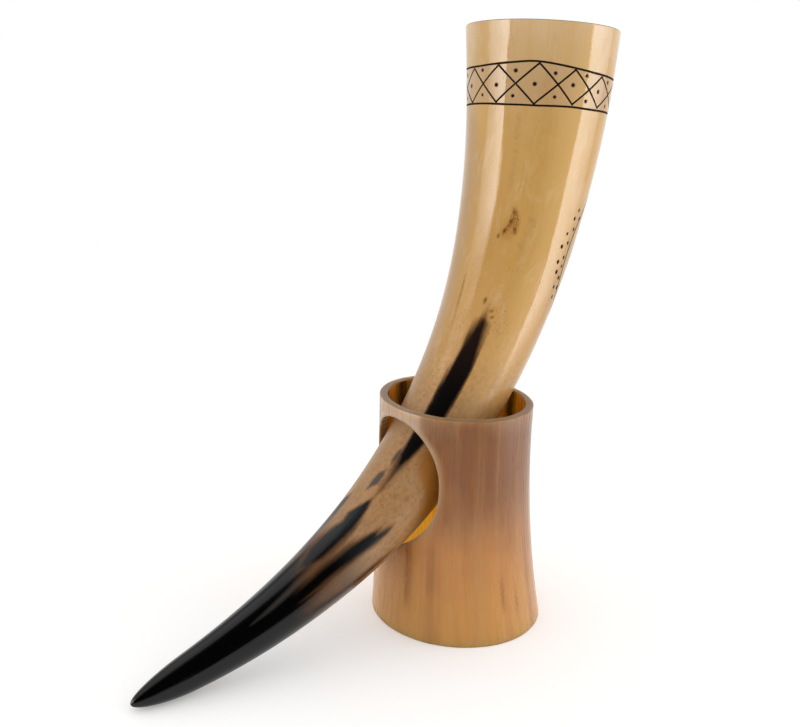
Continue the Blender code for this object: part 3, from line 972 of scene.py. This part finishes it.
def node(tree, kind, sockets, **settings):
    """A new node, with its settings and its sockets set or linked."""
    made = tree.nodes.new(kind)
    for key, value in settings.items():
        setattr(made, key, value)
    fill(made, sockets)
    return made


def trait(tree, name, output="Fac"):
    return node(tree, "ShaderNodeAttribute", {}, attribute_name=name).outputs[output]


def noise(grain, across, along, detail, roughness=0.55, distortion=0.0):
    """Noise in the horn's own grain, in waves per metre across it and along it."""
    placed = node(grain.id_data, "ShaderNodeMapping", {"Vector": grain, "Scale": (across, across, along)})
    sockets = {"Vector": placed.outputs["Vector"], "Scale": 1.0, "Detail": detail}
    sockets.update({"Roughness": roughness, "Distortion": distortion})
    return node(grain.id_data, "ShaderNodeTexNoise", sockets).outputs["Fac"]


def ramp(value, stops):
    """Colours at places between 0 and 1."""
    made = node(value.id_data, "ShaderNodeValToRGB", {"Fac": value})
    elements = made.color_ramp.elements
    while len(elements) < len(stops):
        elements.new(0.5)
    for element, (place, colour) in zip(elements, stops):
        element.position = place
        element.color = (*colour, 1.0)
    return made.outputs["Color"]


def remap(value, low, high, to_low=0.0, to_high=1.0):
    sockets = {"Value": value, "From Min": low, "From Max": high, "To Min": to_low, "To Max": to_high}
    settings = {"interpolation_type": "SMOOTHSTEP"}
    return node(value.id_data, "ShaderNodeMapRange", sockets, **settings).outputs["Result"]


def fade(value, low, high):
    return remap(value, low, high, 1.0, 0.0)


def calc(operation, first, second):
    tree = (first if isinstance(first, bpy.types.NodeSocket) else second).id_data
    return node(tree, "ShaderNodeMath", {0: first, 1: second}, operation=operation).outputs["Value"]


def times(*values):
    return reduce(lambda first, second: calc("MULTIPLY", first, second), values)


def plus(*values):
    return reduce(lambda first, second: calc("ADD", first, second), values)


def coats(colour, *layers):
    """A colour under layers, each a share and the colour that it brings."""
    for share, coat in layers:
        ends = [(*end, 1.0) if isinstance(end, tuple) else end for end in (colour, coat)]
        made = node(share.id_data, "ShaderNodeMix", {}, data_type="RGBA")
        fill(made, {0: share, 6: ends[0], 7: ends[1]})
        colour = made.outputs[2]
    return colour


def bump(height, distance):
    return node(height.id_data, "ShaderNodeBump", {"Height": height, "Distance": distance}).outputs["Normal"]


def new_material(name):
    made = bpy.data.materials.new(name)
    made.use_nodes = True
    return made, made.node_tree, made.node_tree.nodes["Principled BSDF"]


def grain_nodes(tree, **noises):
    """The place along the grain, and the noises that a material's layers share."""
    grain = trait(tree, "grain", "Vector")
    along = node(tree, "ShaderNodeSeparateXYZ", {"Vector": grain}).outputs["Z"]
    made = {name: noise(grain, *settings) for name, settings in noises.items()}
    return SimpleNamespace(along=along, **made)


def horn_ground(tree, grain):
    """Pale at the mouth, golden further on and dark at the tip, clouded and a little greyer in the band."""
    ground = ramp(calc("DIVIDE", grain.along, HORN_LENGTH), (
        (0.00, (0.66, 0.458, 0.250)), (0.04, (0.60, 0.398, 0.183)), (0.15, (0.585, 0.345, 0.115)),
        (0.30, (0.56, 0.318, 0.100)), (0.43, (0.61, 0.34, 0.125)), (0.52, (0.47, 0.26, 0.11)),
        (0.58, (0.44, 0.227, 0.080)), (0.655, (0.445, 0.233, 0.086)), (0.70, (0.385, 0.225, 0.112)),
        (0.745, (0.100, 0.074, 0.056)), (0.80, (0.020, 0.016, 0.014)),
    ))
    clear = fade(grain.along, 0.165, 0.215)
    gold = times(remap(grain.broad, 0.42, 0.68, 0.0, 0.40), clear)
    cream = times(remap(grain.wax, 0.50, 0.72, 0.0, 0.45), clear)
    warmth = times(remap(grain.clouds, 0.50, 0.70, 0.0, 0.40), clear)
    band = times(trait(tree, "band"), 0.27)
    fibre = remap(grain.fibres, 0.40, 0.75, 0.0, 0.08)
    return coats(
        ground,
        (gold, (0.60, 0.335, 0.075)),
        (cream, (0.70, 0.50, 0.29)),
        (warmth, (0.50, 0.265, 0.065)),
        (band, (0.37, 0.26, 0.20)),
        (fibre, (0.36, 0.20, 0.085)),
    )


def horn_mottling(grain, colour):
    """Brown nap, ashen patches, speckles and pepper, mostly low on the horn."""
    low = remap(grain.along, 0.125, 0.215)
    nap = times(remap(grain.suede, 0.40, 0.64), low, 0.55)
    ash = times(remap(grain.patches, 0.44, 0.62, 0.0, 0.50), low, fade(grain.along, 0.235, 0.265))
    speckle = times(remap(grain.mottle, 0.54, 0.70), low, remap(grain.clouds, 0.40, 0.62, 0.10, 0.55))
    pepper = times(remap(grain.specks, 0.625, 0.69), remap(grain.clouds, 0.46, 0.60))
    pepper = times(pepper, remap(grain.along, 0.080, 0.150, 0.25, 0.9))
    return coats(
        colour,
        (nap, (0.23, 0.118, 0.047)),
        (ash, (0.42, 0.252, 0.125)),
        (speckle, (0.20, 0.105, 0.045)),
        (pepper, (0.15, 0.075, 0.03)),
    )


def horn_marks(tree, grain, dusk, colour):
    """A painted lighter stripe beside the right highlight, painted amber bounce light, painted shade on the
    flanks, the brown blemish and faint lines.
    """
    # Painted light beside the right highlight
    gilt = remap(trait(tree, "gilt"), -0.005, 0.008, 0.0, 0.45)
    # Painted amber bounce light from the stand
    tawny = remap(trait(tree, "tawny"), -0.0045, 0.0035, 0.0, 0.85)
    blemish = times(trait(tree, "blemish"), remap(grain.specks, 0.42, 0.56, 0.20, 0.92))
    faint = times(trait(tree, "faint"), remap(grain.mottle, 0.35, 0.65, 0.05, 0.38))
    return coats(
        colour,
        (gilt, (0.72, 0.46, 0.18)),
        (tawny, (0.37, 0.132, 0.012)),
        (times(dusk, 0.52), (0.37, 0.235, 0.130)),
        (times(trait(tree, "blush"), 0.45), (0.42, 0.18, 0.045)),
        (blemish, (0.20, 0.060, 0.005)),
        (times(trait(tree, "spots"), 0.92), (0.085, 0.024, 0.002)),
        (faint, (0.36, 0.215, 0.095)),
    )


def horn_black(tree, grain, colour):
    """Smoky and black stripes that wander and soften, and the black tip with a painted grey sheen. Gives the
    black's share too.
    """
    along = grain.along
    wander = times(calc("SUBTRACT", grain.streaks, 0.5), 0.0024)
    wander = plus(wander, times(calc("SUBTRACT", grain.mottle, 0.5), 0.0007))
    smoke = plus(trait(tree, "smoke"), wander)
    tail = times(remap(along, 0.212, 0.226, 0.0, 2.2), fade(along, 0.236, 0.246))
    ends = calc("MAXIMUM", remap(along, 0.143, 0.165, 2.2, 1.0), tail)
    softness = calc("MAXIMUM", ends, remap(along, 0.25, 0.285, 1.0, 2.8))
    soft = calc("DIVIDE", plus(trait(tree, "black"), wander), softness)
    slate = times(remap(along, 0.236, 0.250), fade(along, 0.268, 0.285))
    pitch = coats(
        (0.0150, 0.0082, 0.0064),
        (remap(along, 0.150, 0.185), (0.0042, 0.0032, 0.0030)),
        (slate, (0.0100, 0.0120, 0.0130)),
        (remap(along, 0.260, 0.285), (0.0014, 0.0013, 0.0014)),
        # Painted grey sheen on the black tip
        (remap(trait(tree, "haze"), -0.0010, 0.0012, 0.0, 0.8), (0.048, 0.045, 0.042)),
    )
    black = remap(soft, -0.0006, 0.0010)
    blackened = coats(
        colour,
        (remap(smoke, -0.0008, 0.0012, 0.0, 0.92), (0.055, 0.040, 0.037)),
        (remap(soft, -0.0014, 0.0002, 0.0, 0.80), (0.165, 0.070, 0.022)),
        (black, pitch),
    )
    return blackened, black


def horn_relief(grain):
    return plus(times(grain.fibres, 0.4), times(grain.streaks, 0.6))


def horn_material():
    """Polished horn: glossy, but duller on its brown part, inside it and in the engraving."""
    made, tree, shader = new_material("polished_horn")
    grain = grain_nodes(
        tree,
        broad=(70, 5, 3),
        streaks=(330, 9, 4, 0.6),
        fibres=(1300, 28, 3),
        clouds=(60, 26, 4, 0.6),
        wax=(95, 42, 5, 0.65, 0.6),
        mottle=(260, 400, 3, 0.65),
        suede=(230, 370, 6, 0.80),
        patches=(60, 95, 4, 0.6),
        specks=(1500, 900, 2, 0.6),
    )
    # Painted shade on the horn's flanks
    dusk = remap(trait(tree, "dusk"), -0.006, 0.009)
    ink, inside = trait(tree, "ink"), trait(tree, "inside")
    colour = horn_mottling(grain, horn_ground(tree, grain))
    colour = horn_marks(tree, grain, dusk, colour)
    colour, black = horn_black(tree, grain, colour)
    colour = coats(
        colour,
        (times(inside, 0.55), (0.36, 0.20, 0.075)),
        (times(trait(tree, "sawn"), 0.85), (0.13, 0.088, 0.058)),
        (ink, (0.014, 0.0068, 0.0052)),
    )
    worn = plus(
        remap(grain.fibres, 0.3, 0.8, 0.050, 0.080),
        times(inside, 0.30),
        remap(grain.along, 0.110, 0.205, 0.0, 0.24),
        remap(grain.along, 0.245, 0.300, 0.0, -0.17),
        times(ink, 0.75),
        times(dusk, 0.06),
    )
    streak = times(black, fade(grain.along, 0.235, 0.255))
    fill(shader, {
        "Base Color": colour,
        "Roughness": worn,
        "Specular Tint": coats((1.0, 1.0, 1.0), (streak, (0.35, 0.35, 0.36)), (ink, (0.10, 0.08, 0.08))),
        "Normal": bump(horn_relief(grain), 0.00006),
        "IOR": 1.49,
        "Specular IOR Level": 0.35,
        "Subsurface Weight": 0.12,
        "Subsurface Radius": (1.0, 0.55, 0.22),
        "Subsurface Scale": 0.003,
    })
    return made


def stand_outside(tree, grain):
    """Amber at the foot and brown at the top, streaked along, with a painted highlight round the window's
    edge and above the window.
    """
    shift = times(calc("SUBTRACT", grain.clouds, 0.5), 0.35)
    ground = ramp(plus(calc("DIVIDE", grain.along, STAND_HEIGHT), shift), (
        (0.00, (0.64, 0.308, 0.078)), (0.20, (0.64, 0.298, 0.078)), (0.38, (0.56, 0.248, 0.072)),
        (0.56, (0.395, 0.178, 0.062)), (0.74, (0.26, 0.100, 0.030)), (0.92, (0.225, 0.088, 0.022)),
        (1.00, (0.28, 0.150, 0.070)),
    ))
    umber = times(trait(tree, "umber"), remap(grain.streaks, 0.30, 0.60, 0.40, 0.70))
    # Painted highlight round the window's edge
    sanded = times(trait(tree, "sanded"), remap(grain.along, 0.074, 0.098, 0.20, 0.90))
    return coats(
        ground,
        (remap(grain.broad, 0.48, 0.66, 0.0, 0.42), (0.25, 0.10, 0.028)),
        (remap(grain.streaks, 0.50, 0.76, 0.0, 0.30), (0.60, 0.35, 0.15)),
        (remap(grain.fibres, 0.42, 0.74, 0.0, 0.10), (0.20, 0.09, 0.030)),
        (umber, (0.29, 0.104, 0.015)),
        (sanded, (0.40, 0.285, 0.195)),
        # Painted highlight on the bridge above the window
        (times(trait(tree, "bridge"), 0.50), (0.58, 0.44, 0.34)),
    )


def stand_inside(tree, grain):
    """Honey with darker streaks, browner towards the rim, and painted shade next to the horn."""
    # Painted shade next to the horn
    shade = times(trait(tree, "shade"), remap(grain.streaks, 0.35, 0.60, 0.80, 1.0))
    return coats(
        (1.0, 0.53, 0.200),
        (remap(grain.along, 0.050, 0.098), (0.40, 0.20, 0.046)),
        (remap(grain.streaks, 0.45, 0.68, 0.0, 0.55), (0.60, 0.28, 0.045)),
        (shade, (0.012, 0.006, 0.003)),
    )


def stand_material():
    """Brown horn that lets light through, most of all inside its lower half, with smoothed cut edges."""
    made, tree, shader = new_material("brown_horn")
    grain = grain_nodes(
        tree, broad=(85, 3.5, 3), streaks=(240, 6, 4, 0.6), fibres=(800, 14, 3), clouds=(38, 30, 3, 0.6)
    )
    inside, sawn = trait(tree, "inside"), trait(tree, "sawn")
    within = remap(inside, 0.55, 1.0)
    top = remap(grain.along, STAND_HEIGHT - RIM_EDGE, STAND_HEIGHT - 0.0001, 0.0, 0.95)
    colour = coats(
        stand_outside(tree, grain),
        (within, stand_inside(tree, grain)),
        (top, (0.185, 0.120, 0.084)),
        (times(sawn, 0.70), coats((0.36, 0.245, 0.170), (remap(inside, 0.12, 0.40), (0.20, 0.110, 0.050)))),
    )
    uncut = calc("SUBTRACT", 1.0, calc("MAXIMUM", top, sawn))
    glow = times(fade(grain.along, 0.035, 0.070), within)
    fill(shader, {
        "Base Color": colour,
        "Roughness": plus(remap(grain.fibres, 0.3, 0.8, 0.24, 0.34), times(top, 0.15)),
        "Normal": bump(times(horn_relief(grain), uncut), 0.00010),
        "IOR": 1.49,
        "Specular IOR Level": 0.42,
        "Subsurface Weight": 1.0,
        "Subsurface Radius": coats((1.0, 0.85, 0.40), (glow, (1.0, 0.42, 0.20))),
        "Subsurface Scale": times(plus(times(glow, 0.026), 0.014), remap(sawn, 0.0, 1.0, 1.0, 0.25)),
    })
    return made


# Studio: a pale floor, a white surround, two upright soft boxes, and a dark flag and a dim ceiling that only
# reflections show

CAMERA_PLACE = (-0.247159, -0.301274, 0.206586)
CAMERA_FORWARD = Vector((0.62568645, 0.75324165, -0.20283857))
CAMERA_RIGHT = Vector((0.77364764, -0.632496, 0.03765812))
IMAGE_WIDTH = 800
FOCAL_PIXELS = 909.17
SENSOR_WIDTH = 36.0
STUDIO_CENTRE = Vector((0.06, 0.0, 0.0))
FLOOR_RADIUS = 1.0
FLOOR_COLUMNS = 96
FLOOR_CLEAR_FROM = 0.30
FLOOR_CLEAR_TO = 0.75
FLOOR_GLOW = 0.24
FILL_LIGHT = 0.93
# Soft boxes: (name, turn from the camera's side, width, foot of the lit face, its top, light, gloss)
BOX_DISTANCE = 1.0
SOFT_BOXES = (
    ("left_soft_box", math.radians(-75), 0.62, -0.10, 0.62, 0.60, 1.1),
    ("right_soft_box", math.radians(90), 0.78, -0.40, 0.90, 1.10, 0.82),
)
BOX_GLOSS_INNER = 9.8
BOX_GLOSS_OUTER = 3.0
BOX_FADE = (0.34, 0.56)
BOX_FADED = 0.25
FLAG_RADIUS = 1.35
FLAG_TURNS = (math.radians(-58), math.radians(66))
FLAG_TOP = 1.5
FLAG_COLUMNS = 24
CEILING_RADIUS = 4.5
CEILING_COLUMNS = 48
CEILING_EDGE = (-0.50, -0.10)
CEILING_TURN = math.radians(45)
CEILING_FADE = (1.7, 2.3)
CEILING_GLOW = 1.1
CEILING_FADED = 0.40
UP = Vector((0, 0, 1))


def studio_way(turn):
    """A level direction, turned from the camera's side. Positive turns go to the camera's right."""
    to_camera = Vector((-CAMERA_FORWARD.x, -CAMERA_FORWARD.y, 0)).normalized()
    to_right = Vector((CAMERA_RIGHT.x, CAMERA_RIGHT.y, 0)).normalized()
    return math.cos(turn) * to_camera + math.sin(turn) * to_right


def placed(place, right, up, back):
    """The matrix of something at a place that looks away from its back."""
    return Matrix.Translation(place) @ Matrix((right, up, back)).transposed().to_4x4()


def add_camera():
    camera = put("camera", bpy.data.cameras.new("camera"))
    right, back = CAMERA_RIGHT.normalized(), -CAMERA_FORWARD.normalized()
    camera.matrix_world = placed(CAMERA_PLACE, right, back.cross(right), back)
    camera.data.sensor_width = SENSOR_WIDTH
    camera.data.lens = FOCAL_PIXELS / IMAGE_WIDTH * SENSOR_WIDTH
    camera.data.clip_start = 0.01
    bpy.context.scene.camera = camera


def stage_mesh(name, points, faces, finish):
    mesh = bpy.data.meshes.new(name)
    mesh.from_pydata(points, [], faces)
    mesh.materials.append(finish)
    made = put(name, mesh)
    return made


def stage_disc(name, radius, columns, finish):
    rim = [(radius * math.cos(a), radius * math.sin(a), 0.0) for a in full_turn(columns)]
    return stage_mesh(name, rim, [list(range(columns))], finish)


def only_in_reflections(thing):
    thing.visible_camera = False
    thing.visible_diffuse = False
    thing.visible_shadow = False
    thing.visible_transmission = False


def own_place(tree):
    return node(tree, "ShaderNodeTexCoord", {}).outputs["Object"]


def length_of(vector):
    return node(vector.id_data, "ShaderNodeVectorMath", {0: vector}, operation="LENGTH").outputs["Value"]


def show(tree, surface):
    """Links a shader to the output of a material or of the world."""
    output = next(made for made in tree.nodes if made.bl_idname.startswith("ShaderNodeOutput"))
    tree.links.new(surface.outputs[0], output.inputs["Surface"])


def glow_material(name, strength_of):
    """A material that only glows, with a strength that is a function of the object's own places."""
    made, tree, shader = new_material(name)
    show(tree, node(tree, "ShaderNodeEmission", {"Strength": strength_of(own_place(tree))}))
    tree.nodes.remove(shader)
    return made


def add_soft_box(name, turn, width, foot, top, light, gloss):
    """A gentle area light, with a brighter face that only reflections show. It dims outwards and upwards."""
    height, middle = top - foot, (foot + top) / 2
    data = bpy.data.lights.new(name, "AREA")
    data.shape = "RECTANGLE"
    data.size, data.size_y = width, height
    data.energy = light * math.pi * width * height
    lamp = put(name, data)
    way = studio_way(turn)
    right = UP.cross(way)
    lamp.matrix_world = placed(STUDIO_CENTRE + way * BOX_DISTANCE + UP * middle, right, UP, way)
    lamp.visible_glossy = False
    inner = math.copysign(width / 2, studio_way(0).dot(right))

    def strength(place):
        parts = node(place.id_data, "ShaderNodeSeparateXYZ", {"Vector": place}).outputs
        outward = remap(parts["X"], -inner, inner, gloss * BOX_GLOSS_OUTER, gloss * BOX_GLOSS_INNER)
        low, high = (level - middle for level in BOX_FADE)
        return times(outward, remap(parts["Y"], low, high, 1.0, BOX_FADED))

    x, y = width / 2, height / 2
    corners = [(-x, -y, 0), (x, -y, 0), (x, y, 0), (-x, y, 0)]
    face = stage_mesh(name + "_face", corners, [(0, 1, 2, 3)], glow_material(name + "_face", strength))
    face.matrix_world = lamp.matrix_world
    only_in_reflections(face)


def seen_directly(tree):
    """1 for camera rays and for what mirrors and glass show, otherwise 0."""
    path = node(tree, "ShaderNodeLightPath", {}).outputs
    either = calc("MAXIMUM", path["Is Camera Ray"], path["Is Glossy Ray"])
    return calc("MAXIMUM", either, path["Is Transmission Ray"])


def add_floor():
    """Pale paper that shows the shadow and clears into the white surround away from the object."""
    finish, tree, shader = new_material("pale_floor")
    fill(shader, {"Base Color": (0.86, 0.86, 0.86, 1.0), "Roughness": 1.0, "Specular IOR Level": 0.0})
    glow = node(tree, "ShaderNodeEmission", {"Strength": times(seen_directly(tree), FLOOR_GLOW)})
    lit = node(tree, "ShaderNodeAddShader", {0: shader.outputs[0], 1: glow.outputs[0]})
    clear = remap(length_of(own_place(tree)), FLOOR_CLEAR_FROM, FLOOR_CLEAR_TO)
    nothing = node(tree, "ShaderNodeBsdfTransparent", {})
    show(tree, node(tree, "ShaderNodeMixShader", {0: clear, 1: lit.outputs[0], 2: nothing.outputs[0]}))
    stage_disc("floor", FLOOR_RADIUS, FLOOR_COLUMNS, finish)


def add_flag():
    """A dark screen behind the camera, seen only in reflections."""
    finish, _, shader = new_material("dark_flag")
    fill(shader, {"Base Color": (0.0, 0.0, 0.0, 1.0), "Specular IOR Level": 0.0})
    points = []
    for turn in np.linspace(*FLAG_TURNS, FLAG_COLUMNS):
        foot = STUDIO_CENTRE + studio_way(turn) * FLAG_RADIUS
        points += [foot, foot + UP * FLAG_TOP]
    faces = [(2 * i, 2 * i + 2, 2 * i + 3, 2 * i + 1) for i in range(FLAG_COLUMNS - 1)]
    only_in_reflections(stage_mesh("dark_flag", points, faces, finish))


def add_ceiling():
    """A ceiling that is dark on the camera's side, seen only in reflections."""
    def strength(place):
        sockets = {0: place, 1: studio_way(CEILING_TURN)}
        product = node(place.id_data, "ShaderNodeVectorMath", sockets, operation="DOT_PRODUCT")
        glow = remap(length_of(place), *CEILING_FADE, CEILING_GLOW, CEILING_FADED)
        return times(glow, fade(product.outputs["Value"], *CEILING_EDGE))

    finish = glow_material("dim_ceiling", strength)
    ceiling = stage_disc("dim_ceiling", CEILING_RADIUS, CEILING_COLUMNS, finish)
    ceiling.location = STUDIO_CENTRE + UP * FLAG_TOP
    only_in_reflections(ceiling)


def set_world():
    """White where it is seen, and a plain fill light on the object."""
    world = bpy.data.worlds.new("studio")
    bpy.context.scene.world = world
    world.use_nodes = True
    tree = world.node_tree
    white = tree.nodes["Background"]
    fill(white, {"Color": (1.0, 1.0, 1.0, 1.0), "Strength": 1.0})
    soft = node(tree, "ShaderNodeBackground", {"Color": (1.0, 0.985, 0.97, 1.0), "Strength": FILL_LIGHT})
    both = {0: seen_directly(tree), 1: soft.outputs[0], 2: white.outputs[0]}
    show(tree, node(tree, "ShaderNodeMixShader", both))


horn = make_horn(horn_material())
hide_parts("drinking_horn")
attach(horn, "horn")

stand = make_stand(stand_material())
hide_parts("horn_stand")
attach(stand, "stand")

add_camera()
add_floor()
add_flag()
add_ceiling()
set_world()
for soft_box in SOFT_BOXES:
    add_soft_box(*soft_box)
bpy.context.scene.view_settings.view_transform = "Standard"
